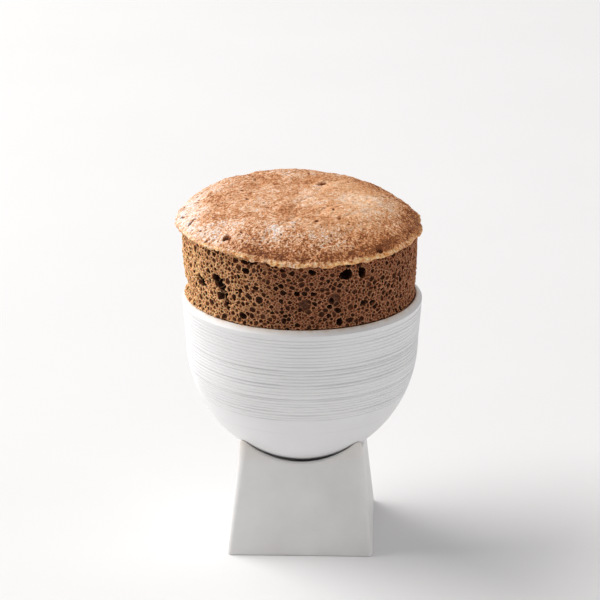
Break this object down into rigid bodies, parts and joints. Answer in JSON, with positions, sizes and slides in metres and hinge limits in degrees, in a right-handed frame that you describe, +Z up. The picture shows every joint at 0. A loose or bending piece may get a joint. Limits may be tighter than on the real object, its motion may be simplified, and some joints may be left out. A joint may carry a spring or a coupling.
{
  "type": "chocolate souffle in its bowl",
  "caption": "Chocolate souffle risen well above a round white grooved bowl, held in the hollowed top of a square tapered pedestal.",
  "frame": {"origin": "centre of the pedestal's flat underside", "axes": "+Z up, the bowl's axis of revolution; the front is at -Y and the pedestal's sides face along X and Y"},
  "size_m": [0.09, 0.09, 0.1313],
  "materials": {
    "souffle": "matte",
    "bowl": "satin",
    "pedestal": "matte"
  },
  "bodies": {
    "root": {"souffle": "souffle", "bowl": "bowl", "pedestal": "pedestal"}
  },
  "joints": []
}
